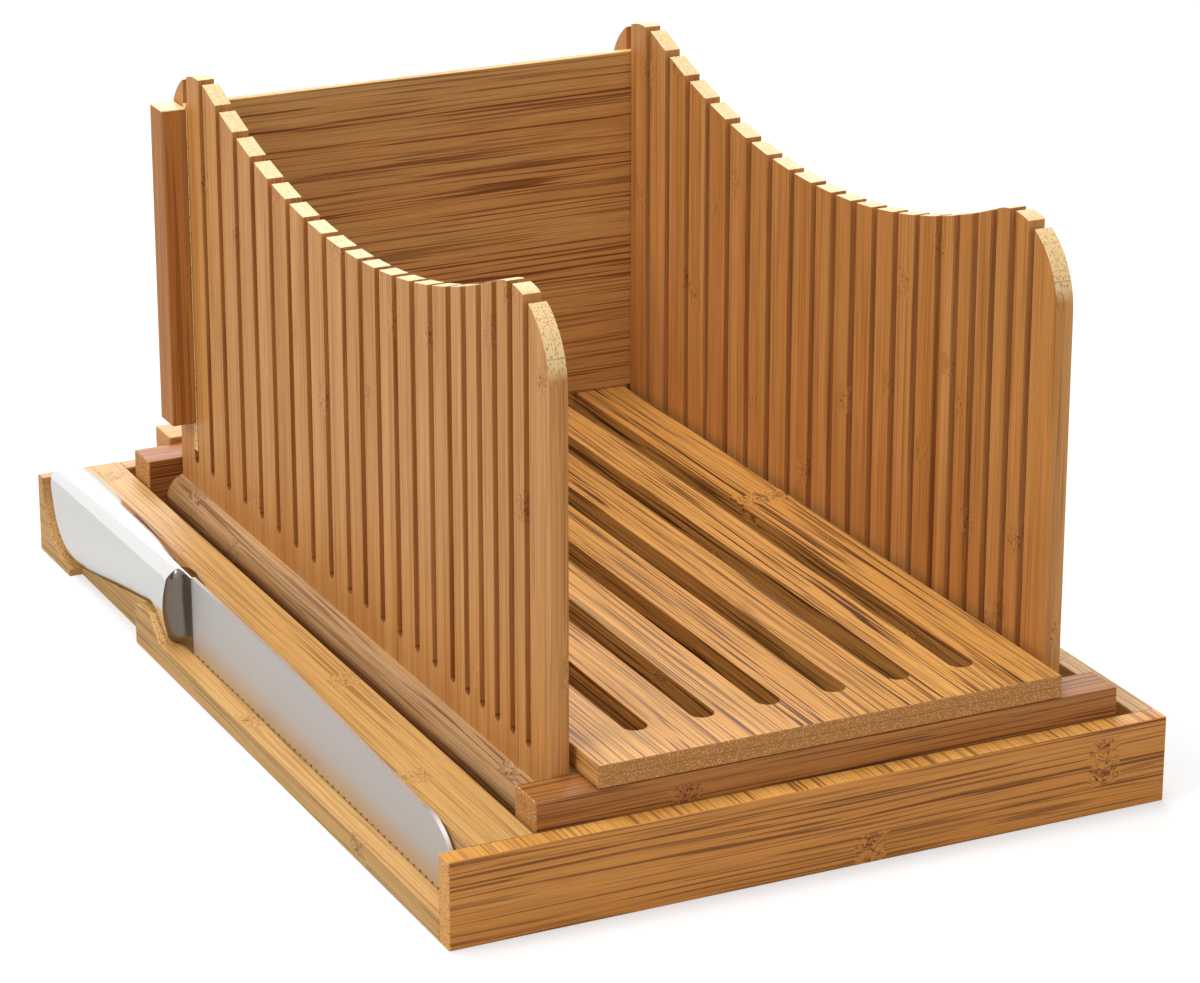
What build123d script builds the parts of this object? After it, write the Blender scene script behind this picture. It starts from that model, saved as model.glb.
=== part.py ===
from build123d import *
import math
import os

# Bread slicer guide: two slotted side walls on a lift-out frame that stands in
# a crumb tray, with a bread knife laid in the left rail of the tray.
# Millimetres. Origin: bottom centre of the tray. +Y runs to the back of the
# slicer, +X to its right, +Z up. Bamboo throughout, the knife and pins steel.

# crumb tray
tray_w = 244.0
tray_h = 28.5
floor_t = 4.0
front_rail_t = 7.3
rear_rail_t = 7.0
right_rail_t = 7.5
knife_rail_w = 30.8
edge_soft = 0.5

# stop bar behind the slicer, glued on the rear rail
stop_bar_inset = 13.5
stop_bar_d = 14.4
stop_bar_h = 11.5

# slicer frame that lifts out of the tray
bar_d = 14.5
bar_h = 33.4
bar_end_gap = 0.8
bar_far_gap = 5.9
bar_front_gap = 0.9
rod_r = 8.6
rod_rise = 19.2
wall_inset = 15.0
pin_r = 2.0
pin_in_bar = 9.0
pin_in_rod = 14.0

# slotted side walls
wall_t = 5.9
wall_rise = 159.5
groove_depth = 6.0
wall_rear_gap = 1.8
end_round_r = 26.0
dip_depth = 25.1
slot_w = 3.8
slot_below_board = 4.4
first_slot_inset = 15.0
thick_slice = 15.45
thick_count = 9
middle_slice = 13.7
middle_count = 6
thin_slice = 11.05
thin_count = 5

# cutting board in two plies
board_side_gap = 2.4
ply_t = 3.7
crumb_slot_w = 7.8
crumb_slot_margin = 22.9
crumb_slot_count = 6
crumb_slot_inset = 18.8

# backboard that drops into the rearmost saw slot
panel_h = 125.8
post_w = 8.8
post_d = 11.6
post_h = 114.0
post_below_panel = 1.2

# knife and the recess it lies in
blade_t = 1.4
blade_mid = 8.3
blade_tip_gap = 2.6
blade_len = 217.1
blade_h = 27.2
blade_tip_h = 22.4
blade_tip_len = 27.0
tip_round_in = 5.9
tip_round_h = 15.2
blade_taper_len = 112.0
tooth_pitch = 4.5
tooth_r = 0.8
bolster_len = 11.0
bolster_w = 12.8
bolster_nose = 0.5
bolster_waist_w = 3.6
bolster_waist_at = 6.6
handle_len = 114.0
handle_butt_w = 15.0
handle_neck_w = 12.8
handle_butt_round = 5.0
handle_belly_round = 4.0
handle_crown = 2.6
handle_top_h = 34.8
handle_butt_h = 33.0
butt_curve_in = 2.2
butt_curve_h = 13.8
belly_lead = 2.6
guard_steps = 3
belly_steps = 6
guard_len = 8.0
neck_len = 13.4
ledge_h = 7.5
hump_h = 15.6
hump_fall = 0.9
hump_step = 9.0
belly_len = 26.0
turn_in = 6.0
turn_h = 8.6
pocket_depth = 18.4
pocket_neck_depth = 15.2
pocket_rear_depth = 17.0
pocket_end_wall = 4.3
pocket_floor_min = 2.4
notch_depth = 4.9
notch_len = 69.0

# clearances
rest_gap = 0.3
side_gap = 0.3
glue_gap = 0.05
pin_gap = 0.06
blade_gap = 0.9
belly_gap = 2.0
belly_sag_gap = 2.2
butt_gap = 5.3
guard_gap = 1.6
over = 1.0

# places that follow from the sizes above; the tray is as deep as the knife needs
knife_len = blade_len + bolster_len + handle_len
tray_d = front_rail_t + blade_tip_gap + knife_len + butt_gap + pocket_end_wall
left = -tray_w / 2
right = tray_w / 2
front = -tray_d / 2
rear = tray_d / 2
opening_left = left + knife_rail_w
opening_right = right - right_rail_t
opening_front = front + front_rail_t
opening_rear = rear - rear_rail_t

bar_left = opening_left + bar_end_gap
bar_right = opening_right - bar_far_gap
mid_x = (bar_left + bar_right) / 2
wall_spacing = bar_right - bar_left - 2 * wall_inset
bar_z0 = floor_t + rest_gap
bar_z1 = bar_z0 + bar_h
front_bar_y0 = opening_front + bar_front_gap
front_bar_y1 = front_bar_y0 + bar_d
rear_bar_y1 = rear - stop_bar_d - side_gap
rear_bar_y0 = rear_bar_y1 - bar_d
rod_z = bar_z0 + rod_rise

wall_y0 = front_bar_y1 + side_gap
wall_y1 = rear_bar_y0 - wall_rear_gap
wall_z0 = rod_z + rod_r - groove_depth
wall_z1 = rod_z + wall_rise
board_z0 = bar_z1 + rest_gap
board_z1 = board_z0 + 2 * ply_t
board_w = wall_spacing - wall_t - 2 * board_side_gap
slot_z0 = board_z1 - slot_below_board
first_slot_y = wall_y1 - first_slot_inset

blade_x0 = left + blade_mid - blade_t / 2
recess_depth = blade_mid + blade_t / 2 + blade_gap
blade_z0 = ledge_h + rest_gap
tip_y = opening_front + blade_tip_gap
heel_y = tip_y + blade_len
handle_y0 = heel_y + bolster_len
handle_y1 = handle_y0 + handle_len
neck_y0 = handle_y0 + guard_len
neck_y1 = neck_y0 + neck_len
pocket_y1 = handle_y1 + butt_gap
belly_y = pocket_y1 - belly_len


def block(x0, x1, y0, y1, z0, z1):
    solid = Box(x1 - x0, y1 - y0, z1 - z0, align=(Align.MIN, Align.MIN, Align.MIN))
    return Pos(x0, y0, z0) * solid


def soft_block(x0, x1, y0, y1, z0, z1):
    solid = block(x0, x1, y0, y1, z0, z1)
    return fillet(solid.edges(), edge_soft)


def rod_along_y(radius, x, z, y0, y1):
    disc = Plane.XZ.offset(-y0) * (Pos(x, z) * Circle(radius))
    return extrude(disc, amount=-(y1 - y0))


def prism_x(profile, x0, x1):
    # a profile drawn in Y and Z, pushed along X
    return extrude(Plane.YZ.offset(x0) * profile, amount=x1 - x0)


def prism_z(profile, z0, z1):
    # a profile drawn in X and Y, pushed along Z
    return extrude(Pos(0, 0, z0) * profile, amount=z1 - z0)


def arc_point(centre, radius, degrees):
    angle = math.radians(degrees)
    return (centre[0] + radius * math.cos(angle), centre[1] + radius * math.sin(angle))


# crumb tray: five plain boards round the recessed knife rail

def knife_rail():
    rail = block(left, opening_left, opening_front, rear, 0, tray_h)
    rail = fillet(rail.edges().filter_by(Axis.Y), edge_soft)
    return rail - recess() - finger_notch()


def recess():
    # side view: flat ledge, a hump under the handle's neck, then a floor that
    # falls to the back and turns up in a round to the rim
    hump_y0 = handle_y0 + guard_gap
    hump_y1 = hump_y0 + hump_step
    start_y = opening_front - over
    top = tray_h + over
    floor_line = Polyline(
        (start_y, ledge_h),
        (hump_y0, ledge_h),
        (hump_y1, hump_h),
        (neck_y1, hump_h - hump_fall),
        (belly_y, pocket_floor_min),
    )
    turn_mid = (pocket_y1 - turn_in, pocket_floor_min + turn_h)
    turn_up = ThreePointArc((belly_y, pocket_floor_min), turn_mid, (pocket_y1, tray_h))
    closing = Polyline((pocket_y1, tray_h), (pocket_y1, top), (start_y, top), (start_y, ledge_h))
    side = make_face(floor_line + turn_up + closing)
    steps = side.vertices().filter_by(lambda v: hump_y0 - over < v.X < hump_y1 + over and v.Y < tray_h)
    side = fillet(steps, hump_step / 2)
    # plan view: shallow behind the blade, deeper beside the bolster and handle
    outer = left - over
    plan = make_face(
        Polyline(
            (outer, start_y),
            (left + recess_depth, start_y),
            (left + recess_depth, heel_y - guard_len),
            (left + pocket_neck_depth, neck_y0 - bolster_len),
            (left + pocket_depth, neck_y1 + belly_len),
            (left + pocket_depth, belly_y),
            (left + pocket_rear_depth, pocket_y1),
            (outer, pocket_y1),
            (outer, start_y),
        )
    )
    bends = plan.vertices().filter_by(lambda v: v.X > left and heel_y - bolster_len < v.Y < neck_y1 + over)
    plan = fillet(bends, guard_len)
    return prism_x(side, outer, opening_left) & prism_z(plan, 0, top)


def finger_notch():
    return block(left - over, left + notch_depth, belly_y - notch_len, belly_y, -over, tray_h)


tray_front_rail = soft_block(left, right, front, opening_front, 0, tray_h)
tray_rear_rail = soft_block(opening_left, right, opening_rear, rear, 0, tray_h)
tray_right_rail = soft_block(opening_right, right, opening_front, opening_rear, 0, tray_h)
tray_floor = block(opening_left, opening_right, opening_front, opening_rear, 0, floor_t)
tray_knife_rail = knife_rail()
stop_bar_left = bar_left + stop_bar_inset
stop_bar_right = bar_right - stop_bar_inset
stop_bar_front = rear - stop_bar_d
tray_stop_bar = soft_block(stop_bar_left, stop_bar_right, stop_bar_front, rear, tray_h, tray_h + stop_bar_h)


# slicer frame: two cross bars, with a hinge pin at each end of each rod

def cross_bar(y0, pin_y0, pin_y1):
    bar = soft_block(bar_left, bar_right, y0, y0 + bar_d, bar_z0, bar_z1)
    for side in (-1, 1):
        bar -= rod_along_y(pin_r + glue_gap, mid_x + side * wall_spacing / 2, rod_z, pin_y0, pin_y1)
    return bar


def hinge_pin(side, y0):
    return rod_along_y(pin_r, mid_x + side * wall_spacing / 2, rod_z, y0, y0 + pin_in_bar + pin_in_rod)


def hinge_rod(side):
    x = mid_x + side * wall_spacing / 2
    y0 = front_bar_y1 + side_gap
    y1 = rear_bar_y0 - side_gap
    rod = rod_along_y(rod_r, x, rod_z, y0, y1)
    groove_half = wall_t / 2 + glue_gap
    rod -= block(x - groove_half, x + groove_half, y0 - over, wall_y1, wall_z0, rod_z + rod_r + over)
    rod -= rod_along_y(pin_r + pin_gap, x, rod_z, y0 - over, front_bar_y1 + pin_in_rod + over)
    rod -= rod_along_y(pin_r + pin_gap, x, rod_z, rear_bar_y0 - pin_in_rod - over, y1 + over)
    return rod


front_pin_y0 = front_bar_y1 - pin_in_bar
rear_pin_y0 = rear_bar_y0 - pin_in_rod
base_front_bar = cross_bar(front_bar_y0, front_pin_y0, front_bar_y1 + over)
base_rear_bar = cross_bar(rear_bar_y0, rear_bar_y0 - over, rear_bar_y0 + pin_in_bar)


# side walls: two rounded ends and one shallow dip between them

def slot_places():
    # thick slices at the back, thin ones in front, none nearer the end than a slat
    pitches = [thick_slice] * thick_count + [middle_slice] * middle_count + [thin_slice] * thin_count
    places = [first_slot_y]
    for pitch in pitches:
        if places[-1] - pitch > wall_y0 + thin_slice:
            places.append(places[-1] - pitch)
    return places


def wall_outline():
    hill_z = wall_z1 - end_round_r
    hill_rear = (wall_y1 - end_round_r, hill_z)
    hill_front = (wall_y0 + end_round_r, hill_z)
    half_run = (hill_rear[0] - hill_front[0]) / 2
    rise = end_round_r - dip_depth
    # the dip's radius makes its arc run smoothly into both end rounds
    dip_r = (half_run**2 + rise**2 - end_round_r**2) / (2 * (end_round_r - rise))
    dip_centre = (hill_front[0] + half_run, hill_z + rise + dip_r)
    slope = math.degrees(math.atan2(dip_centre[1] - hill_z, half_run))
    dip_low = (dip_centre[0], dip_centre[1] - dip_r)
    rear_meet = arc_point(hill_rear, end_round_r, 180 - slope)
    front_meet = arc_point(hill_front, end_round_r, slope)
    rear_mid = arc_point(hill_rear, end_round_r, 90 - slope / 2)
    front_mid = arc_point(hill_front, end_round_r, 90 + slope / 2)
    rear_round = ThreePointArc((wall_y1, hill_z), rear_mid, rear_meet)
    dip = ThreePointArc(rear_meet, dip_low, front_meet)
    front_round = ThreePointArc(front_meet, front_mid, (wall_y0, hill_z))
    foot = Polyline((wall_y0, hill_z), (wall_y0, wall_z0), (wall_y1, wall_z0), (wall_y1, hill_z))
    return make_face(rear_round + dip + front_round + foot)


def guide_wall(side):
    x = mid_x + side * wall_spacing / 2
    profile = wall_outline()
    slot_len = wall_z1 + over - slot_z0
    for y in slot_places():
        end_round = Pos(y, slot_z0 + slot_w / 2) * Circle(slot_w / 2)
        cut = Pos(y, slot_z0 + slot_w / 2 + slot_len / 2) * Rectangle(slot_w, slot_len)
        profile -= end_round + cut
    return prism_x(profile, x - wall_t / 2, x + wall_t / 2)


# cutting board: two plies with round-ended crumb slots right through

def board_ply(z0):
    ply = block(mid_x - board_w / 2, mid_x + board_w / 2, front_bar_y0, rear_bar_y1, z0, z0 + ply_t)
    cut_len = rear_bar_y1 - front_bar_y0 - 2 * crumb_slot_inset
    cut_y = (front_bar_y0 + rear_bar_y1) / 2
    pitch = (board_w - 2 * crumb_slot_margin) / (crumb_slot_count - 1)
    for number in range(crumb_slot_count):
        x = mid_x - board_w / 2 + crumb_slot_margin + number * pitch
        cut = Pos(x, cut_y) * Rot(0, 0, 90) * SlotOverall(cut_len, crumb_slot_w)
        ply -= prism_z(cut, z0 - over, z0 + ply_t + over)
    return ply


# backboard: a thin panel through both rear saw slots, glued to two end posts

panel_t = slot_w - 2 * side_gap
post_inner = wall_spacing / 2 + wall_t / 2 + side_gap
panel_z0 = board_z1 + rest_gap
panel_y0 = first_slot_y - panel_t / 2
post_z1 = panel_z0 + panel_h - post_below_panel
backboard_panel = block(
    mid_x - post_inner, mid_x + post_inner, panel_y0, panel_y0 + panel_t, panel_z0, panel_z0 + panel_h
)


def end_post(side):
    inner = mid_x + side * post_inner
    outer = inner + side * post_w
    x0 = min(inner, outer)
    return soft_block(x0, x0 + post_w, panel_y0, panel_y0 + post_d, post_z1 - post_h, post_z1)


# knife: flat serrated blade, flared bolster, hollow-look steel handle

def knife_blade():
    tip_z = blade_z0 + blade_tip_h
    spine_z = blade_z0 + blade_h
    tip_end = tip_y + blade_tip_len
    tip_mid = (tip_y + tip_round_in, blade_z0 + tip_round_h)
    outline = ThreePointArc((tip_y, blade_z0), tip_mid, (tip_end, tip_z))
    outline += Polyline(
        (tip_end, tip_z),
        (tip_end + blade_taper_len, spine_z),
        (heel_y, spine_z),
        (heel_y, blade_z0),
        (tip_y, blade_z0),
    )
    profile = make_face(outline)
    for number in range(1, int(blade_len / tooth_pitch)):
        profile -= Pos(heel_y - number * tooth_pitch, blade_z0) * Circle(tooth_r)
    return prism_x(profile, blade_x0, blade_x0 + blade_t)


def knife_bolster():
    mid = left + blade_mid
    nose = blade_t / 2 + bolster_nose
    base = bolster_w / 2
    waist = bolster_waist_w / 2
    waist_y = heel_y + bolster_waist_at
    plan = make_face(
        Line((mid - nose, heel_y), (mid + nose, heel_y))
        + ThreePointArc((mid + nose, heel_y), (mid + waist, waist_y), (mid + base, handle_y0))
        + Line((mid + base, handle_y0), (mid - base, handle_y0))
        + ThreePointArc((mid - base, handle_y0), (mid - waist, waist_y), (mid - nose, heel_y))
    )
    return prism_z(plan, blade_z0, blade_z0 + blade_h)


def handle_low(y):
    # height of the handle's underside: a sloping belly, with a guard that flares
    # down to the blade's heel in a smooth curve
    neck_z = hump_h + belly_gap
    slope = (neck_z - pocket_floor_min - belly_sag_gap) / (belly_y - neck_y0)
    flare = max(neck_y0 - y, 0) / guard_len
    return neck_z - slope * (y - neck_y0) - (neck_z - blade_z0 + slope * guard_len) * flare**2


def handle_half(y):
    # half width: slim at the neck, swelling in a quarter wave towards the butt
    share = min((y - handle_y0) / handle_len, 1)
    return handle_neck_w / 2 + (handle_butt_w - handle_neck_w) / 2 * math.sin(math.pi / 2 * share)


def handle_slice(y):
    # end view: crowned back down to a crease, straight sides, rounded underside
    mid = left + blade_mid
    half = handle_half(y)
    low = handle_low(y)
    crown_z = handle_top_h - (handle_top_h - handle_butt_h) * ((y - handle_y0) / handle_len) ** 2
    crease_z = crown_z - handle_crown
    crown = ThreePointArc((mid - half, crease_z), (mid, crown_z), (mid + half, crease_z))
    sides = Polyline((mid + half, crease_z), (mid + half, low), (mid - half, low), (mid - half, crease_z))
    face = make_face(crown + sides)
    face = fillet(face.vertices().filter_by(lambda v: v.Y < low + over), handle_belly_round)
    return Plane.XZ.offset(-y) * face


def knife_handle():
    stations = [handle_y0 + guard_len * step / guard_steps for step in range(guard_steps + 1)]
    belly_run = handle_y1 + over - neck_y0
    stations += [neck_y0 + belly_run * step / belly_steps for step in range(1, belly_steps + 1)]
    body = loft([handle_slice(y) for y in stations])
    # the butt is cut to the turn-up of the pocket and rounded in plan
    belly_end = belly_y - belly_lead
    top = tray_h + handle_top_h
    butt_mid = (handle_y1 - butt_curve_in, pocket_floor_min + butt_curve_h)
    side = make_face(
        ThreePointArc((handle_y1, handle_butt_h), butt_mid, (belly_end, pocket_floor_min))
        + Polyline(
            (belly_end, pocket_floor_min),
            (belly_end - rest_gap, -over),
            (handle_y0 - over, -over),
            (handle_y0 - over, top),
            (handle_y1, top),
            (handle_y1, handle_butt_h),
        )
    )
    mid = left + blade_mid
    plan = Pos(mid, (handle_y0 + handle_y1) / 2) * Rectangle(handle_butt_w + over, handle_len + over)
    plan = fillet(plan.vertices().filter_by(lambda v: v.Y > handle_y1 - over), handle_butt_round)
    return body & prism_x(side, left - over, left + 2 * blade_mid + over) & prism_z(plan, 0, top)


nodes = {
    "tray_front_rail": tray_front_rail,
    "tray_rear_rail": tray_rear_rail,
    "tray_right_rail": tray_right_rail,
    "tray_knife_rail": tray_knife_rail,
    "tray_floor": tray_floor,
    "tray_stop_bar": tray_stop_bar,
    "base_front_bar": base_front_bar,
    "base_rear_bar": base_rear_bar,
    "front_left_hinge_pin": hinge_pin(-1, front_pin_y0),
    "front_right_hinge_pin": hinge_pin(1, front_pin_y0),
    "rear_left_hinge_pin": hinge_pin(-1, rear_pin_y0),
    "rear_right_hinge_pin": hinge_pin(1, rear_pin_y0),
    "left_hinge_rod": hinge_rod(-1),
    "right_hinge_rod": hinge_rod(1),
    "left_guide_wall": guide_wall(-1),
    "right_guide_wall": guide_wall(1),
    "board_top_ply": board_ply(board_z0 + ply_t),
    "board_bottom_ply": board_ply(board_z0),
    "backboard_panel": backboard_panel,
    "backboard_left_post": end_post(-1),
    "backboard_right_post": end_post(1),
    "knife_blade": knife_blade(),
    "knife_bolster": knife_bolster(),
    "knife_handle": knife_handle(),
}

os.makedirs("parts", exist_ok=True)
for name, solid in nodes.items():
    export_step(solid, "parts/" + name + ".step")
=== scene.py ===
import math

import bmesh
import bpy
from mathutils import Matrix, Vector


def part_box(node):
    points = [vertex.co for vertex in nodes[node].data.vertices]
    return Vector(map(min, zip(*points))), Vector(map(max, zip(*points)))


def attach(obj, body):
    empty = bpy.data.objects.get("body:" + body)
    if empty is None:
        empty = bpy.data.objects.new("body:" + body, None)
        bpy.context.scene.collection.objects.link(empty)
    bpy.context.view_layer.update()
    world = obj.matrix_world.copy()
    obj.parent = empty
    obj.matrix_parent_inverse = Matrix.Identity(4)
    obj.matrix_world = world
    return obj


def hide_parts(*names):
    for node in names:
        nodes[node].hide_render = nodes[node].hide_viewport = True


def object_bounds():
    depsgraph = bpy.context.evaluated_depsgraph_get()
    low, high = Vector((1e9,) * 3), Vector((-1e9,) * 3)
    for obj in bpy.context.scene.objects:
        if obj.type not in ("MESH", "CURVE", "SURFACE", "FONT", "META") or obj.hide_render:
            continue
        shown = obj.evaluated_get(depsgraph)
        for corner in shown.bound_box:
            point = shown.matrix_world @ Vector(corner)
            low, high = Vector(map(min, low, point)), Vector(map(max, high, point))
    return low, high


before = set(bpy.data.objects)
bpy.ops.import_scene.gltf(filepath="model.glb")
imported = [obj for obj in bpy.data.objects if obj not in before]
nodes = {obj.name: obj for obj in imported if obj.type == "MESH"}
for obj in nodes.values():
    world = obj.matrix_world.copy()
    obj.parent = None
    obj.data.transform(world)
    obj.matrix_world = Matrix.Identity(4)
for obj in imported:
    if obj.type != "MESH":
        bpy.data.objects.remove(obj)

mm = 0.001
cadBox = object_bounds()
scene = bpy.context.scene


def linearColour(hexText):
    # sRGB hex to the linear values that Blender works in
    parts = [int(hexText[i:i + 2], 16) / 255 for i in (1, 3, 5)]
    return tuple(c / 12.92 if c <= 0.04045 else ((c + 0.055) / 1.055) ** 2.4 for c in parts) + (1.0,)


def addNode(tree, kind, inputs=None, **settings):
    # a number as key is the socket's place, a word is its name; a node as value links its first output
    node = tree.nodes.new(kind)
    for key, value in settings.items():
        setattr(node, key, value)
    for key, value in (inputs or {}).items():
        socket = node.inputs[key] if isinstance(key, int) else next(
            s for s in node.inputs if s.enabled and s.name == key)
        if isinstance(value, bpy.types.Node):
            value = next(s for s in value.outputs if s.enabled)
        if isinstance(value, bpy.types.NodeSocket):
            tree.links.new(value, socket)
        else:
            socket.default_value = value
    return node


def calculate(tree, operation, *values, clamp=False):
    return addNode(tree, "ShaderNodeMath", dict(enumerate(values)), operation=operation, use_clamp=clamp)


def vectorMath(tree, operation, *values):
    return addNode(tree, "ShaderNodeVectorMath", dict(enumerate(values)), operation=operation)


def scaleBy(tree, vector, factor):
    return addNode(tree, "ShaderNodeVectorMath", {0: vector, "Scale": factor}, operation="SCALE")


def mixed(tree, factor, a, b, kind="RGBA"):
    return addNode(tree, "ShaderNodeMix", {"Factor": factor, "A": a, "B": b}, data_type=kind)


def remap(tree, value, edge, reach=(0.0, 1.0), **settings):
    return addNode(tree, "ShaderNodeMapRange", {
        "Value": value, "From Min": edge[0], "From Max": edge[1],
        "To Min": reach[0], "To Max": reach[1]}, **settings)


def noise(tree, vector, scale=1.0, detail=2.0, roughness=0.5):
    return addNode(tree, "ShaderNodeTexNoise", {"Vector": vector, "Scale": scale, "Detail": detail,
                                                "Roughness": roughness}).outputs["Fac"]


def cells(tree, vector):
    return addNode(tree, "ShaderNodeTexVoronoi", {"Vector": vector, "Scale": 1.0},
                   feature="F1").outputs["Distance"]


def newMaterial(name):
    material = bpy.data.materials.new(name)
    material.use_nodes = True
    material.node_tree.nodes.clear()
    return material, material.node_tree


def newPiece(name, bm, material):
    mesh = bpy.data.meshes.new(name)
    bm.to_mesh(mesh)
    bm.free()
    piece = bpy.data.objects.new(name, mesh)
    scene.collection.objects.link(piece)
    piece.data.materials.append(material)
    return piece


def applyAll(piece):
    # turns the evaluated result into a plain mesh and drops the modifiers
    graph = bpy.context.evaluated_depsgraph_get()
    mesh = bpy.data.meshes.new_from_object(piece.evaluated_get(graph))
    piece.modifiers.clear()
    piece.data = mesh


def easeEdges(piece, width, segments=2, angle=30):
    # rounds the sharp edges as sanding does and keeps the broad faces flat
    bevel = piece.modifiers.new("ease", "BEVEL")
    bevel.width = width * mm
    bevel.segments = segments
    bevel.limit_method = "ANGLE"
    bevel.angle_limit = math.radians(angle)
    bevel.harden_normals = True
    piece.data.shade_smooth()
    applyAll(piece)


# camera, at the photograph's viewing angle

cameraView = {
    "place": (-0.5730, -1.2127, 0.5575),
    "turnRight": 25.83,  # degrees from the slicer's +Y towards its +X
    "tiltDown": 20.26,
    "lens": 129.4,
    "sensor": 36.0,
}


def makeCamera():
    data = bpy.data.cameras.new("photoCamera")
    data.lens = cameraView["lens"]
    data.sensor_width = cameraView["sensor"]
    camera = bpy.data.objects.new("photoCamera", data)
    camera.location = cameraView["place"]
    tilt = math.radians(90 - cameraView["tiltDown"])
    camera.rotation_euler = (tilt, 0, -math.radians(cameraView["turnRight"]))
    scene.collection.objects.link(camera)
    scene.camera = camera


# studio: white floor, white world, four soft boxes

studio = {
    "floorSize": 8.0,
    "floorColour": "#bfbfbf",
    "floorLift": 0.46,  # added for camera rays only, so the floor reads white and keeps its shadow
    "floorMirrored": 0.03,
    "ambient": 0.27,
    "mirrored": 1.03,
    "flag": 0.12,       # what metal sees where a dark card stands, low in front of the slicer
    "flagHeading": (-0.25, -0.95, 0.1),
    "flagEdge": (0.72, 0.88),
    "lamps": {
        "leftBox": {"place": (-1.9, -0.1, 1.5), "size": 1.1, "watts": 25},
        "topBox": {"place": (-0.25, 0.3, 2.2), "size": 1.2, "watts": 32},
        "backBox": {"place": (0.75, 2.0, 1.3), "size": 1.3, "watts": 26},
        "frontBox": {"place": (-0.1, -2.4, 0.9), "size": 1.2, "watts": 16},
    },
}


def makeStudio():
    bm = bmesh.new()
    bmesh.ops.create_grid(bm, x_segments=1, y_segments=1, size=studio["floorSize"] / 2)
    material, tree = newMaterial("paperSweep")
    path = addNode(tree, "ShaderNodeLightPath")
    paper = addNode(tree, "ShaderNodeBsdfDiffuse", {"Color": linearColour(studio["floorColour"])})
    lift = calculate(tree, "MULTIPLY", path.outputs["Is Camera Ray"], studio["floorLift"])
    lift = calculate(tree, "MULTIPLY_ADD", path.outputs["Is Glossy Ray"], studio["floorMirrored"], lift)
    glow = addNode(tree, "ShaderNodeEmission", {"Color": (1, 1, 1, 1), "Strength": lift})
    both = addNode(tree, "ShaderNodeAddShader", {0: paper, 1: glow})
    addNode(tree, "ShaderNodeOutputMaterial", {"Surface": both})
    floor = newPiece("floor", bm, material)

    world = bpy.data.worlds.new("studioWorld")
    world.use_nodes = True
    tree = world.node_tree
    tree.nodes.clear()
    path = addNode(tree, "ShaderNodeLightPath")
    seen = calculate(tree, "MAXIMUM", path.outputs["Is Glossy Ray"], path.outputs["Is Transmission Ray"])
    # the card covers the directions low in front, so that polished steel gets a dark band
    coords = addNode(tree, "ShaderNodeTexCoord")
    heading = vectorMath(tree, "DOT_PRODUCT", coords.outputs["Generated"], studio["flagHeading"])
    card = remap(tree, heading.outputs["Value"], studio["flagEdge"], interpolation_type="SMOOTHSTEP")
    mirrored = mixed(tree, card, studio["mirrored"], studio["flag"], "FLOAT")
    level = mixed(tree, seen, studio["ambient"], mirrored, "FLOAT")
    level = mixed(tree, path.outputs["Is Camera Ray"], level, 1.0, "FLOAT")
    sky = addNode(tree, "ShaderNodeBackground", {"Color": (1, 1, 1, 1), "Strength": level})
    addNode(tree, "ShaderNodeOutputWorld", {"Surface": sky})
    scene.world = world

    aim = (cadBox[0] + cadBox[1]) / 2
    for name, lamp in studio["lamps"].items():
        data = bpy.data.lights.new(name, "AREA")
        data.size = lamp["size"]
        data.energy = lamp["watts"]
        light = bpy.data.objects.new(name, data)
        light.location = lamp["place"]
        light.rotation_euler = (aim - Vector(lamp["place"])).to_track_quat("-Z", "Y").to_euler()
        scene.collection.objects.link(light)


# bamboo: strips glued side by side, each with dark fibre lines that run its length

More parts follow.
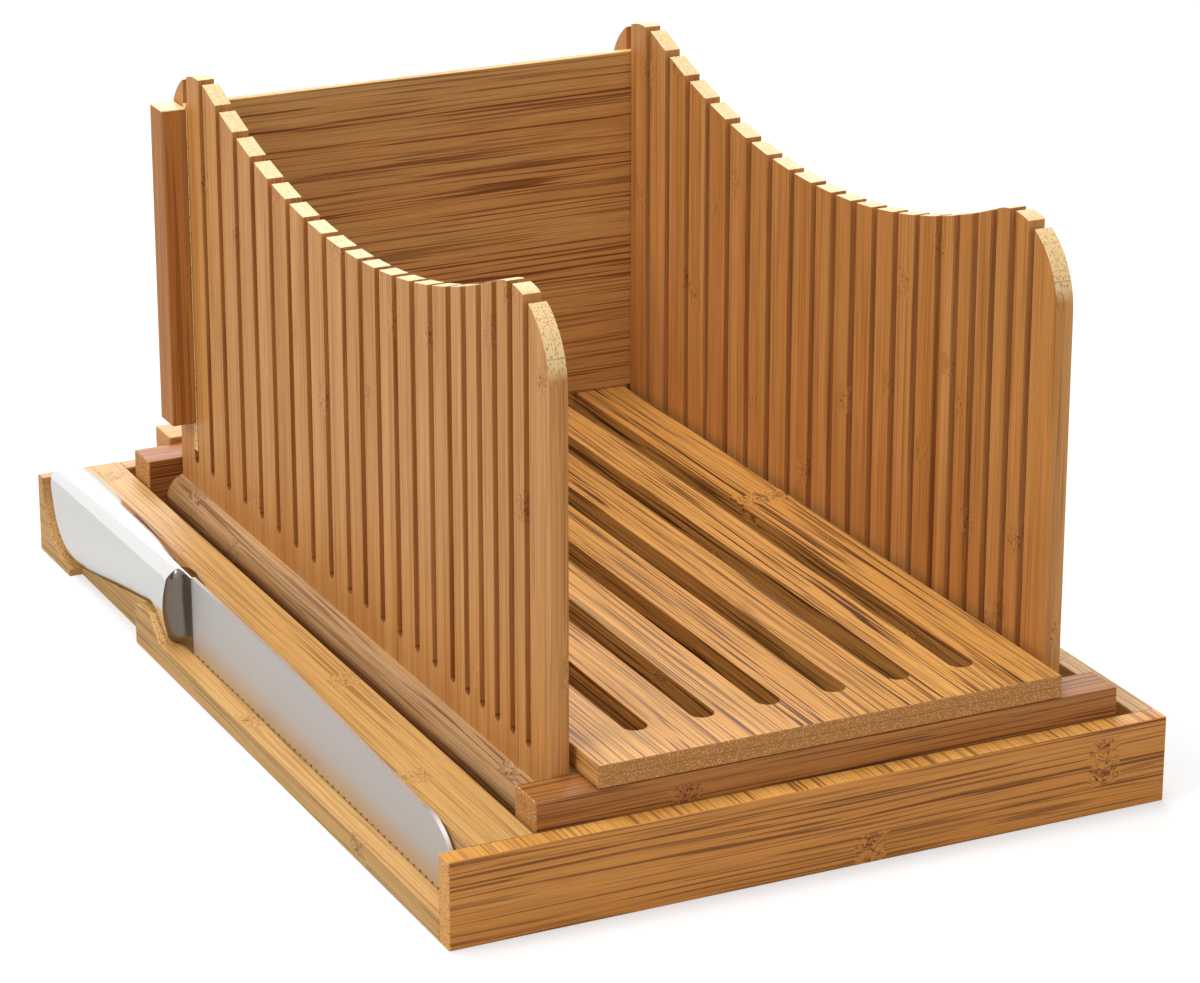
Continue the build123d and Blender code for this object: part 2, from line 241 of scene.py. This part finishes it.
bambooLooks = {
    # fibre: axes along the fibres, across the strips and through them; strip: width and depth in mm
    # lines and pores: how dark the fibre lines and the pores between them look
    # end and dots: ground and fibre bundles of a cut end; the low-end colour: painted shade on the ends
    # that lie low, in the saw slots
    # topPale and topHoney: a thin facing on top, whose fibres run from front to back
    "frontRailBamboo": {
        "fibre": "XZY", "strip": (15.5, 20), "seed": 3, "knuckleEvery": 330, "lines": 0.85, "pores": 0.45,
        "pale": "#de9849", "honey": "#cd8537", "dark": "#683411", "end": "#e2a353", "dots": "#8a5526",
        "topPale": "#e7ab58", "topHoney": "#d59543",
    },
    "trayBamboo": {
        "fibre": "YXZ", "strip": (19, 20), "seed": 5, "knuckleEvery": 210, "lines": 0.62, "pores": 0.35,
        "pale": "#d4aa68", "honey": "#c69653", "dark": "#7d471b", "end": "#cfa062", "dots": "#8a5526",
    },
    "railAcrossBamboo": {
        "fibre": "XZY", "strip": (9.6, 20), "seed": 8, "knuckleEvery": 262, "lines": 0.5, "pores": 0.3,
        "pale": "#ddab6f", "honey": "#d09757", "dark": "#995d27", "end": "#d29754", "dots": "#8a5526",
    },
    # the bars' colours are darkened overall as painted shade, for the shade they sit in under the tray
    "barBambooPaintedShade": {
        "fibre": "XYZ", "strip": (5.5, 12), "seed": 11, "knuckleEvery": 300, "lines": 0.85, "pores": 0.45,
        "pale": "#bb7f42", "honey": "#a7672a", "dark": "#55280d", "end": "#ae763a", "dots": "#e9c48c",
    },
    "rodBamboo": {
        "fibre": "YXZ", "strip": (60, 60), "seed": 14, "knuckleEvery": 262, "lines": 0.85, "pores": 0.5,
        "pale": "#caa475", "honey": "#b0814d", "dark": "#633513", "end": "#c49658", "dots": "#8a5526",
    },
    "wallBamboo": {
        "fibre": "ZYX", "strip": (7.3, 3.9), "seed": 17, "knuckleEvery": 262, "lines": 0.42, "pores": 0.4,
        "pale": "#d79e5d", "honey": "#c48440", "dark": "#84481c", "end": "#e7c690", "dots": "#b98147",
        # painted shade for the cut ends low in the saw slots
        "endPaintedShade": "#8d5426",
    },
    "boardBamboo": {
        "fibre": "YXZ", "strip": (19, 3.75), "seed": 21, "knuckleEvery": 700, "lines": 1.0, "pores": 0.6,
        "pale": "#e9b162", "honey": "#d59749", "dark": "#542a0e", "end": "#b47a3b", "dots": "#dfb27b",
    },
    "postBamboo": {
        "fibre": "ZXY", "strip": (6, 6), "seed": 23, "knuckleEvery": 262, "lines": 0.45, "pores": 0.4,
        "pale": "#c28748", "honey": "#b06e2d", "dark": "#6a340f", "end": "#e4ca98", "dots": "#d3a468",
        # painted shade for the cut ends that lie low
        "endPaintedShade": "#9a6030",
    },
    "backboardBamboo": {
        "fibre": "XZY", "strip": (21, 9), "seed": 27, "knuckleEvery": 700, "lines": 0.9, "pores": 0.45,
        "pale": "#f7c87b", "honey": "#e7a85c", "dark": "#602d0e", "end": "#f7cd7f", "dots": "#8a5526",
    },
}

bambooPattern = {
    # an edge is the pair of levels between which a mark fades in; perMm says how fast a noise changes
    "stripShift": (0.5, 0.37, 0.21),      # strips that the first joint lies off the part's middle
    "culmSpread": (700, 90, 90),          # mm over which the strips are taken from the culm
    "stripTint": 0.55,
    "bandPerMm": (0.006, 0.2, 0.2),
    "bandEdge": (0.3, 0.7),
    "bandTint": 0.6,
    "lineSpacing": 0.9,        # mm between the dark fibre lines
    "lineLength": 95.0,        # mm that a line stays in the cut face
    "lineEdge": (0.53, 0.6),
    "deepEdge": (0.38, 0.6),
    "shallow": 0.5,            # the faintest lines against the deepest
    "fineSpacing": 0.42,       # mm, pores between the lines
    "fineLength": 42.0,
    "fineEdge": (0.45, 0.75),
    "drift": 2.4,              # mm that the fibres wander
    "driftPerMm": (0.009, 0.05, 0.05),
    "knuckleHalf": 6.0,        # mm either side of a knuckle
    "knuckleWave": 9.0,        # mm that a knuckle strays from a straight line
    "wavePerMm": 0.35,
    "crowd": 5.0,              # mm that the fibres turn aside in a knuckle
    "crowdPerMm": (0.3, 0.55, 0.55),
    "fleckLength": 2.6,        # mm, the short curled fibres in a knuckle
    "fleckSpacing": 0.8,
    "fleckEdge": (0.42, 0.24),
    "fleckDepth": 0.85,
    "dotSpacing": 0.62,        # mm between the bundles that dot a cut end
    "dotLength": 100.0,
    "dotEdge": (0.4, 0.2),
    "endEdge": (0.12, 0.3),    # how far a face is turned along the fibres to count as a cut end
    # cut ends below this height take the painted shade colour
    "paintedShadeBelow": 60.0,       # mm
    "topFrom": 0.8,
    "glueLine": 0.14,          # mm
    "glueDepth": 0.4,
    "glueColour": "#7f4a20",
    "roughness": (0.42, 0.6),
    "bump": 0.3,
    "bumpHeight": 0.12,        # mm
    "lineSink": -0.6,
}


def bambooMaterial(name, look):
    # split bamboo, planed, sanded and oiled: straight fibres, satin, with dotted cut ends
    pattern = bambooPattern
    material, tree = newMaterial(name)
    coords = addNode(tree, "ShaderNodeTexCoord")
    axes = addNode(tree, "ShaderNodeSeparateXYZ", {0: scaleBy(tree, coords.outputs["Object"], 1 / mm)})
    normal = addNode(tree, "ShaderNodeSeparateXYZ", {0: coords.outputs["Normal"]})
    along, across, through = look["fibre"]
    place = addNode(tree, "ShaderNodeCombineXYZ",
                    {0: axes.outputs[along], 1: axes.outputs[across], 2: axes.outputs[through]})
    pale, honey, dark = [linearColour(look[key]) for key in ("pale", "honey", "dark")]
    if "topPale" in look:
        facing = addNode(tree, "ShaderNodeCombineXYZ", {0: axes.outputs["Y"], 1: axes.outputs["X"], 2: 0.0})
        topOn = calculate(tree, "GREATER_THAN", normal.outputs["Z"], pattern["topFrom"])
        place = mixed(tree, topOn, place, facing, "VECTOR")
        pale = mixed(tree, topOn, pale, linearColour(look["topPale"]))
        honey = mixed(tree, topOn, honey, linearColour(look["topHoney"]))

    # which strip a point is in, and a random place in the culm for each strip
    inStrips = vectorMath(tree, "DIVIDE", place, (1e6, *look["strip"]))
    inStrips = vectorMath(tree, "ADD", inStrips, pattern["stripShift"])
    strip = vectorMath(tree, "FLOOR", inStrips)
    chance = addNode(tree, "ShaderNodeTexWhiteNoise", {"Vector": strip, "W": float(look["seed"])},
                     noise_dimensions="4D")
    moved = vectorMath(tree, "MULTIPLY_ADD", chance.outputs["Color"], pattern["culmSpread"], place)

    # knuckles: a band across each strip where the fibres bend and crowd
    movedAxes = addNode(tree, "ShaderNodeSeparateXYZ", {0: moved})
    uneven = noise(tree, moved, pattern["wavePerMm"], 1.0)
    alongUneven = calculate(tree, "MULTIPLY_ADD", uneven, pattern["knuckleWave"], movedAxes.outputs[0])
    fromKnuckle = calculate(tree, "PINGPONG", alongUneven, look["knuckleEvery"] / 2)
    knuckle = remap(tree, fromKnuckle, (pattern["knuckleHalf"], 0.0), interpolation_type="SMOOTHSTEP")

    # fibres wander slowly, and sharply near a knuckle
    slow = noise(tree, vectorMath(tree, "MULTIPLY", moved, pattern["driftPerMm"]), 1.0, 1.0)
    bend = vectorMath(tree, "MULTIPLY_ADD", slow.node.outputs["Color"],
                      (0, pattern["drift"], pattern["drift"]), moved)
    crowd = noise(tree, vectorMath(tree, "MULTIPLY", moved, pattern["crowdPerMm"]))
    crowd = vectorMath(tree, "MULTIPLY", crowd.node.outputs["Color"],
                       (0, pattern["crowd"], pattern["crowd"]))
    fibres = vectorMath(tree, "ADD", bend, scaleBy(tree, crowd, knuckle))

    def stretched(kind):
        # coordinates in which one mark of this kind measures one
        spacing = 1 / pattern[kind + "Spacing"]
        return vectorMath(tree, "MULTIPLY", fibres, (1 / pattern[kind + "Length"], spacing, spacing))

    # long thin lines of uneven depth, fine pores, and short flecks in the knuckles
    lines = remap(tree, noise(tree, stretched("line"), 1.0, 1.0, 0.6), pattern["lineEdge"])
    fine = noise(tree, stretched("fine"), 1.0, 2.0, 0.6)
    band = noise(tree, vectorMath(tree, "MULTIPLY", fibres, pattern["bandPerMm"]))
    flecks = remap(tree, cells(tree, stretched("fleck")), pattern["fleckEdge"])
    flecks = calculate(tree, "MULTIPLY", flecks, knuckle)

    # colour: strip tint, broad bands, pores, lines, flecks, glue lines, then the cut ends
    tint = calculate(tree, "MULTIPLY", chance.outputs["Value"], pattern["stripTint"])
    banded = remap(tree, band, pattern["bandEdge"], (0.0, pattern["bandTint"]))
    body = mixed(tree, calculate(tree, "ADD", tint, banded), pale, honey)
    body = mixed(tree, remap(tree, fine, pattern["fineEdge"], (0.0, look["pores"])), body, dark)
    depth = remap(tree, band, pattern["deepEdge"], (look["lines"] * pattern["shallow"], look["lines"]))
    lines = calculate(tree, "MULTIPLY", lines, depth)
    lines = calculate(tree, "MULTIPLY_ADD", flecks, pattern["fleckDepth"], lines, clamp=True)
    body = mixed(tree, lines, body, dark)

    within = addNode(tree, "ShaderNodeSeparateXYZ", {0: vectorMath(tree, "FRACTION", inStrips)})
    glue = calculate(tree, "MAXIMUM", *[
        calculate(tree, "LESS_THAN", within.outputs[number], pattern["glueLine"] / size)
        for number, size in enumerate(look["strip"], 1)])
    glue = calculate(tree, "MULTIPLY", glue, pattern["glueDepth"])

    dots = remap(tree, cells(tree, stretched("dot")), pattern["dotEdge"])
    cutEnd = mixed(tree, dots, linearColour(look["end"]), linearColour(look["dots"]))
    if "endPaintedShade" in look:
        # the ends inside the saw slots are painted darker: painted shade for the shade deep in the slots
        low = calculate(tree, "LESS_THAN", axes.outputs["Z"], pattern["paintedShadeBelow"])
        cutEnd = mixed(tree, low, cutEnd, linearColour(look["endPaintedShade"]))
    endOn = remap(tree, calculate(tree, "ABSOLUTE", normal.outputs[along]), pattern["endEdge"])
    body = mixed(tree, endOn, body, cutEnd)
    body = mixed(tree, glue, body, linearColour(pattern["glueColour"]))

    height = calculate(tree, "MULTIPLY_ADD", lines, pattern["lineSink"], fine)
    bump = addNode(tree, "ShaderNodeBump", {"Height": height, "Strength": pattern["bump"],
                                            "Distance": pattern["bumpHeight"] * mm})
    surface = addNode(tree, "ShaderNodeBsdfPrincipled", {
        "Base Color": body, "Roughness": remap(tree, fine, (0.0, 1.0), pattern["roughness"]),
        "IOR": 1.5, "Specular IOR Level": 0.35, "Normal": bump})
    addNode(tree, "ShaderNodeOutputMaterial", {"Surface": surface})
    return material


# steel

steelLooks = {
    # rough: how blurred the mirror is; lines: changes per mm of the faint grinding along x, y and z
    "satinBladeSteel": {"colour": "#cfcbc7", "rough": 0.42, "lines": (0.05, 0.22, 6.0), "bump": 0.15},
    "polishedHandleSteel": {"colour": "#eeedeb", "rough": 0.16, "lines": (2.0, 0.02, 2.0), "bump": 0.03},
    # the bolster's dark colour is a painted reflection, standing in for the dark things its flared steel
    # mirrors
    "bolsterSteelPaintedReflection": {"colour": "#857a71", "rough": 0.2, "lines": (2.0, 2.0, 0.05), "bump": 0.05},
    "turnedPinSteel": {"colour": "#b9b6b2", "rough": 0.3, "lines": (2.0, 4.0, 2.0), "bump": 0.1},
}


def steelMaterial(name, look):
    # stainless steel ground or polished in one direction: faint lines in gloss and relief
    material, tree = newMaterial(name)
    coords = addNode(tree, "ShaderNodeTexCoord")
    perMetre = tuple(perMm / mm for perMm in look["lines"])
    lines = noise(tree, vectorMath(tree, "MULTIPLY", coords.outputs["Object"], perMetre))
    rough = remap(tree, lines, (0.0, 1.0), (look["rough"] - 0.04, look["rough"] + 0.04))
    bump = addNode(tree, "ShaderNodeBump", {"Height": lines, "Strength": look["bump"],
                                            "Distance": 0.01 * mm})
    surface = addNode(tree, "ShaderNodeBsdfPrincipled", {
        "Base Color": linearColour(look["colour"]), "Metallic": 1.0, "Roughness": rough, "Normal": bump})
    addNode(tree, "ShaderNodeOutputMaterial", {"Surface": surface})
    return material


scene.view_settings.view_transform = "Standard"
makeCamera()
makeStudio()
print("camera and studio ready")

materials = {name: bambooMaterial(name, look) for name, look in bambooLooks.items()}
materials.update({name: steelMaterial(name, look) for name, look in steelLooks.items()})
print("materials ready:", len(materials))

# rows of cuts: saw slots and crumb slots come from one tree

def cutRowTree():
    tree = bpy.data.node_groups.new("rowOfCuts", "GeometryNodeTree")
    face = tree.interface
    face.new_socket("Geometry", in_out="INPUT", socket_type="NodeSocketGeometry")
    for name in ("Cut Width", "Cut Length", "Corner Radius", "Cut Depth"):
        face.new_socket(name, in_out="INPUT", socket_type="NodeSocketFloat")
    for name in ("Turn", "First Cut", "Step", "Second Step", "Third Step"):
        face.new_socket(name, in_out="INPUT", socket_type="NodeSocketVector")
    for name in ("Count", "Second From", "Third From", "Corner Points"):
        face.new_socket(name, in_out="INPUT", socket_type="NodeSocketInt")
    face.new_socket("Material", in_out="INPUT", socket_type="NodeSocketMaterial")
    face.new_socket("Geometry", in_out="OUTPUT", socket_type="NodeSocketGeometry")
    given = addNode(tree, "NodeGroupInput").outputs

    # one cutter: a round-cornered prism, closed on both faces
    outline = addNode(tree, "GeometryNodeCurvePrimitiveQuadrilateral",
                      {"Width": given["Cut Width"], "Height": given["Cut Length"]})
    outline = addNode(tree, "GeometryNodeFilletCurve", {"Curve": outline, "Radius": given["Corner Radius"],
                      "Limit Radius": True, "Count": given["Corner Points"]}, mode="POLY")
    near = addNode(tree, "GeometryNodeFillCurve", {"Curve": outline}, mode="NGONS")
    far = addNode(tree, "GeometryNodeExtrudeMesh", {"Mesh": near, "Offset Scale": given["Cut Depth"],
                                                    "Individual": False})
    near = addNode(tree, "GeometryNodeFlipFaces", {"Mesh": near})
    cutter = addNode(tree, "GeometryNodeJoinGeometry", {0: near})
    tree.links.new(far.outputs["Mesh"], cutter.inputs[0])
    cutter = addNode(tree, "GeometryNodeMergeByDistance", {"Geometry": cutter, "Distance": 0.00001})
    half = calculate(tree, "MULTIPLY", given["Cut Depth"], -0.5)
    back = addNode(tree, "ShaderNodeCombineXYZ", {"Z": half})
    cutter = addNode(tree, "GeometryNodeTransform", {"Geometry": cutter, "Translation": back})
    cutter = addNode(tree, "GeometryNodeTransform", {"Geometry": cutter, "Rotation": given["Turn"]})

    # places: steps of up to three lengths, each from a given cut on
    line = addNode(tree, "GeometryNodeMeshLine", {
        "Count": given["Count"], "Start Location": given["First Cut"], "Offset": given["Step"]})
    index = addNode(tree, "GeometryNodeInputIndex")
    places = line
    for step, start in (("Second Step", "Second From"), ("Third Step", "Third From")):
        past = calculate(tree, "MAXIMUM", calculate(tree, "SUBTRACT", index, given[start]), 0.0)
        change = scaleBy(tree, given[step], past)
        places = addNode(tree, "GeometryNodeSetPosition", {"Geometry": places, "Offset": change})
    cuts = addNode(tree, "GeometryNodeInstanceOnPoints", {"Points": places, "Instance": cutter})
    cuts = addNode(tree, "GeometryNodeRealizeInstances", {"Geometry": cuts})
    cut = addNode(tree, "GeometryNodeMeshBoolean", {0: given["Geometry"], 1: cuts}, operation="DIFFERENCE",
                  solver="EXACT")
    whole = addNode(tree, "GeometryNodeRealizeInstances", {"Geometry": cut})
    whole = addNode(tree, "GeometryNodeSetMaterial", {"Geometry": whole, "Material": given["Material"]})
    addNode(tree, "NodeGroupOutput", {"Geometry": whole})
    return tree


def cutRow(piece, tree, values):
    # inputs are set by identifier before the piece is first evaluated
    modifier = piece.modifiers.new(tree.name, "NODES")
    modifier.node_group = tree
    for item in tree.interface.items_tree:
        if item.in_out == "INPUT" and item.name in values:
            modifier[item.identifier] = values[item.name]
    applyAll(piece)


rowOfCuts = cutRowTree()
cutThrough = 1.4      # depth of a cutter against the wood it goes through
roundedEnd = 0.499    # a slot's corner radius against its width, a shade under one half

guideWall = {
    "endRound": 26.0,
    "dip": 25.1,
    "slotWidth": 3.8,
    "slotFromFoot": 14.9,   # mm from the wall's foot to the bottom of its slots
    "firstSlot": 15.0,      # mm from the wall's rear end to the first slot
    "slices": (15.45, 13.7, 11.05),
    "secondFrom": 9,        # the slot after which the slices get thinner, and thinner again
    "thirdFrom": 15,
    "slots": 21,
    "ease": 0.35,
    "roundSteps": 24,
    "dipSteps": 72,
}


def wallTop(lo, hi):
    # rear round, long dip, front round: arcs that run into each other, rear end first
    radius = guideWall["endRound"] * mm
    hillZ = hi.z - radius
    rearY, frontY = hi.y - radius, lo.y + radius
    halfRun = (rearY - frontY) / 2
    rise = radius - guideWall["dip"] * mm
    dipRadius = (halfRun ** 2 + rise ** 2 - radius ** 2) / (2 * (radius - rise))
    dipY, dipZ = (rearY + frontY) / 2, hillZ + rise + dipRadius
    slope = math.atan2(dipZ - hillZ, halfRun)
    roundSteps, dipSteps = guideWall["roundSteps"], guideWall["dipSteps"]
    points = []
    for step in range(roundSteps + 1):
        angle = (math.pi - slope) * step / roundSteps
        points.append((rearY + radius * math.cos(angle), hillZ + radius * math.sin(angle)))
    for step in range(1, dipSteps):
        angle = -slope + (2 * slope - math.pi) * step / dipSteps
        points.append((dipY + dipRadius * math.cos(angle), dipZ + dipRadius * math.sin(angle)))
    for step in range(roundSteps + 1):
        angle = slope + (math.pi - slope) * step / roundSteps
        points.append((frontY + radius * math.cos(angle), hillZ + radius * math.sin(angle)))
    return points


def makeWall(name, node, body):
    lo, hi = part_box(node)
    outline = wallTop(lo, hi) + [(lo.y, lo.z), (hi.y, lo.z)]
    bm = bmesh.new()
    near = bm.faces.new([bm.verts.new((lo.x, y, z)) for y, z in outline])
    grown = bmesh.ops.extrude_face_region(bm, geom=[near])
    moved = [v for v in grown["geom"] if isinstance(v, bmesh.types.BMVert)]
    bmesh.ops.translate(bm, verts=moved, vec=(hi.x - lo.x, 0, 0))
    bmesh.ops.recalc_face_normals(bm, faces=bm.faces)
    wall = newPiece(name, bm, materials["wallBamboo"])
    width = guideWall["slotWidth"] * mm
    bottom = lo.z + guideWall["slotFromFoot"] * mm
    length = hi.z - bottom + width
    thick, middle, thin = guideWall["slices"]
    cutRow(wall, rowOfCuts, {
        "Cut Width": width, "Cut Length": length, "Corner Radius": width * roundedEnd,
        "Corner Points": 6, "Cut Depth": (hi.x - lo.x) * cutThrough,
        "Turn": (math.pi / 2, 0, math.pi / 2),
        "First Cut": ((lo.x + hi.x) / 2, hi.y - guideWall["firstSlot"] * mm, bottom + length / 2),
        "Step": (0, -thick * mm, 0), "Second Step": (0, (thick - middle) * mm, 0),
        "Third Step": (0, (middle - thin) * mm, 0), "Count": guideWall["slots"],
        "Second From": guideWall["secondFrom"], "Third From": guideWall["thirdFrom"],
        "Material": materials["wallBamboo"],
    })
    easeEdges(wall, guideWall["ease"])
    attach(wall, body)
    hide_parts(node)


makeWall("leftWall", "left_guide_wall", "left_wall")
makeWall("rightWall", "right_guide_wall", "right_wall")
print("guide walls cut")


cuttingBoard = {
    "crumbSlot": 7.8,
    "slotInset": 18.8,      # mm from the board's ends to the slots
    "slotMargin": 22.9,     # mm from the board's sides to the middle of the outer slots
    "slots": 6,
    "ease": 0.35,
}


def boxPiece(name, node, material):
    lo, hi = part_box(node)
    bm = bmesh.new()
    bmesh.ops.create_cube(bm, size=1.0)
    for vert in bm.verts:
        vert.co = [low + (high - low) * (part + 0.5) for low, high, part in zip(lo, hi, vert.co)]
    return newPiece(name, bm, material)


def makePly(name, node):
    lo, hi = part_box(node)
    ply = boxPiece(name, node, materials["boardBamboo"])
    width = cuttingBoard["crumbSlot"] * mm
    margin = cuttingBoard["slotMargin"] * mm
    pitch = (hi.x - lo.x - 2 * margin) / (cuttingBoard["slots"] - 1)
    cutRow(ply, rowOfCuts, {
        "Cut Width": width, "Cut Length": hi.y - lo.y - 2 * cuttingBoard["slotInset"] * mm,
        "Corner Radius": width * roundedEnd, "Corner Points": 12, "Cut Depth": (hi.z - lo.z) * cutThrough,
        "First Cut": (lo.x + margin, (lo.y + hi.y) / 2, (lo.z + hi.z) / 2), "Step": (pitch, 0, 0),
        "Count": cuttingBoard["slots"], "Second From": cuttingBoard["slots"],
        "Third From": cuttingBoard["slots"],
        "Material": materials["boardBamboo"],
    })
    easeEdges(ply, cuttingBoard["ease"])
    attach(ply, "cutting_board")
    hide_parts(node)


makePly("boardTopPly", "board_top_ply")
makePly("boardBottomPly", "board_bottom_ply")
print("cutting board cut")


backboard = {"ease": 0.4}


def makePanel():
    panel = boxPiece("backboardPanel", "backboard_panel", materials["backboardBamboo"])
    easeEdges(panel, backboard["ease"])
    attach(panel, "backboard")
    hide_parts("backboard_panel")


makePanel()
print("backboard eased")

knifeHandle = {
    # side view in mm from the handle's front end: (distance, height of the underside)
    "under": ((0, 7.9), (3.0, 8.8), (8.5, 13.4), (15.0, 16.2), (26, 15.0), (48, 11.6), (78, 6.2), (90, 4.8),
              (98, 5.4), (104, 8.2), (108, 12.4), (110.6, 18.0), (112.6, 26.0)),
    "frontTop": 34.8,
    "buttTop": 33.0,
    "frontHalf": 5.4,       # half widths in mm at the creases: front end, neck and butt
    "neckHalf": 6.2,
    "buttHalf": 7.4,
    "frontCrown": 3.2,      # mm from the creases up to the middle of the back
    "buttCrown": 1.9,
    "frontBulge": 1.8,      # mm that the side faces swell, in front and behind
    "bulge": 0.3,
    "swell": (0.02, 0.9),   # where the swelling begins, and how much of its arch the side takes
    "rimRun": 11.0,         # mm over which the side swells into the rim
    "lowRound": 4.2,        # mm, the edge under the handle
    "buttRound": 3.5,
    "rings": 72,
    "crownPoints": 16,
    "sidePoints": 12,
    "roundPoints": 6,
}


def smoothThrough(points, x):
    # a curve through a few points, each passed at the slope between its neighbours
    for (x0, y0), (x1, y1) in zip(points, points[1:]):
        if x <= x1:
            break
    i = points.index((x0, y0))
    before = points[max(i - 1, 0)]
    after = points[min(i + 2, len(points) - 1)]
    step = x1 - x0
    slope0 = (y1 - before[1]) / (x1 - before[0]) * step
    slope1 = (after[1] - y0) / (after[0] - x0) * step
    t = (x - x0) / step
    return (y0 * (2 * t ** 3 - 3 * t ** 2 + 1) + slope0 * (t ** 3 - 2 * t ** 2 + t)
            + y1 * (3 * t ** 2 - 2 * t ** 3) + slope1 * (t ** 3 - t ** 2))


def handleRing(distance, length):
    # half of one section in mm, from the middle of the back round the left side to the middle below
    look = knifeHandle
    share = distance / length
    rim = max(1 - distance / look["rimRun"], 0) ** 2
    full = look["neckHalf"] + (look["buttHalf"] - look["neckHalf"]) * math.sin(math.pi / 2 * share)
    full += (look["frontHalf"] - look["neckHalf"]) * rim
    bulge = look["bulge"] + (look["frontBulge"] - look["bulge"]) * rim
    top = look["frontTop"] - (look["frontTop"] - look["buttTop"]) * share ** 2
    crown = look["frontCrown"] + (look["buttCrown"] - look["frontCrown"]) * share
    low = smoothThrough(look["under"], distance)
    into = max(distance - (length - look["buttRound"]), 0) / look["buttRound"]
    half = full - look["buttRound"] * (1 - math.sqrt(max(1 - into ** 2, 0)))
    crease = top - crown * (half / full) ** 2
    rounding = min(look["lowRound"], half * 0.8, (crease - low) * 0.45)   # leaves some flat side
    swellFrom, swellOver = look["swell"]
    points = []
    for step in range(look["crownPoints"]):
        x = half * step / look["crownPoints"]
        points.append((-x, top - crown * (x / full) ** 2))
    for step in range(look["sidePoints"]):
        rise = step / look["sidePoints"]
        z = crease + (low + rounding - crease) * rise
        points.append((-half - bulge * math.sin(math.pi * (rise * swellOver + swellFrom)), z))
    lowest = half + bulge * math.sin(math.pi * (swellOver + swellFrom))
    for step in range(look["roundPoints"] + 1):
        angle = math.pi / 2 * step / look["roundPoints"]
        points.append((-lowest + rounding * (1 - math.cos(angle)), low + rounding * (1 - math.sin(angle))))
    points.append((0, low))
    return points


def wholeRing(halfRing, middleX, y):
    # the left half of a section and its mirror image, as one closed ring in metres
    mirrored = [(-x, z) for x, z in reversed(halfRing[1:-1])]
    return [(middleX + x * mm, y, z * mm) for x, z in halfRing + mirrored]


creaseAngle = math.radians(38)   # edges sharper than this stay crisp on the lofted steel


def loftPiece(name, rings, material):
    # rings: lists of points in metres with the same count; both ends are closed by a fan
    bm = bmesh.new()
    rows = [[bm.verts.new(point) for point in ring] for ring in rings]
    count = len(rows[0])
    for a, b in zip(rows, rows[1:]):
        for i in range(count):
            bm.faces.new((a[i], a[(i + 1) % count], b[(i + 1) % count], b[i]))
    for row in (rows[0], rows[-1]):
        centre = bm.verts.new(sum((v.co for v in row), Vector()) / count)
        for i in range(count):
            bm.faces.new((row[i], row[(i + 1) % count], centre))
    bmesh.ops.recalc_face_normals(bm, faces=bm.faces)
    piece = newPiece(name, bm, material)
    piece.data.shade_smooth()
    piece.data.set_sharp_from_angle(angle=creaseAngle)
    return piece


def makeHandle():
    lo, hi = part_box("knife_handle")
    middleX = sum(corner.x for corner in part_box("knife_blade")) / 2
    length = (hi.y - lo.y) / mm
    rings = []
    for number in range(knifeHandle["rings"] + 1):
        # rings crowd towards both ends
        distance = length * (0.5 - 0.5 * math.cos(math.pi * number / knifeHandle["rings"]))
        rings.append(wholeRing(handleRing(distance, length), middleX, lo.y + distance * mm))
    handle = loftPiece("knifeHandle", rings, materials["polishedHandleSteel"])
    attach(handle, "knife")
    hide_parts("knife_handle")


knifeBolster = {
    "bladeHalf": 0.95,      # mm, half the blade's thickness and a little more
    "bladeFlat": 1.2,       # mm from the middle, where the ring is full width at the blade
    "hollow": 1.5,          # how late the sides flare against the edges
    "rings": 24,
}


def makeBolster():
    # from the flat blade through a hollow flare out to the handle's rim
    lo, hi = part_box("knife_bolster")
    handleLength = (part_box("knife_handle")[1].y - hi.y) / mm
    middleX = (lo.x + hi.x) / 2
    rim = handleRing(0, handleLength)
    rings = []
    for number in range(knifeBolster["rings"] + 1):
        turn = math.pi / 2 * number / knifeBolster["rings"]
        # a quarter round in plan: y runs fast near the blade, x fast near the rim
        forward, swell = math.sin(turn), 1 - math.cos(turn)
        ring = []
        for x, z in rim:
            flatX = -knifeBolster["bladeHalf"] * min(abs(x) / knifeBolster["bladeFlat"], 1)
            flatZ = min(max(z, lo.z / mm), hi.z / mm)
            flare = swell ** knifeBolster["hollow"]
            ring.append((flatX + (x - flatX) * flare, flatZ + (z - flatZ) * swell))
        rings.append(wholeRing(ring, middleX, lo.y + (hi.y - lo.y) * forward))
    # the bolster's steel colour is darkened as a painted reflection
    bolster = loftPiece("knifeBolster", rings, materials["bolsterSteelPaintedReflection"])
    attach(bolster, "knife")
    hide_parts("knife_bolster")


makeHandle()
makeBolster()
print("knife handle and bolster lofted")

# CAD pieces that keep their own mesh

nodeFinish = {
    "tray_front_rail": "frontRailBamboo",
    "tray_rear_rail": "railAcrossBamboo",
    "tray_right_rail": "trayBamboo",
    "tray_knife_rail": "trayBamboo",
    "tray_floor": "trayBamboo",
    "tray_stop_bar": "railAcrossBamboo",
    # the base bars take the bamboo darkened as painted shade
    "base_front_bar": "barBambooPaintedShade",
    "base_rear_bar": "barBambooPaintedShade",
    "front_left_hinge_pin": "turnedPinSteel",
    "front_right_hinge_pin": "turnedPinSteel",
    "rear_left_hinge_pin": "turnedPinSteel",
    "rear_right_hinge_pin": "turnedPinSteel",
    "left_hinge_rod": "rodBamboo",
    "right_hinge_rod": "rodBamboo",
    "backboard_left_post": "postBamboo",
    "backboard_right_post": "postBamboo",
    "knife_blade": "satinBladeSteel",
}

for name, finish in nodeFinish.items():
    slots = nodes[name].material_slots
    if not slots:
        nodes[name].data.materials.append(materials[finish])
    for slot in slots:
        slot.material = materials[finish]
print("CAD pieces finished:", len(nodeFinish))
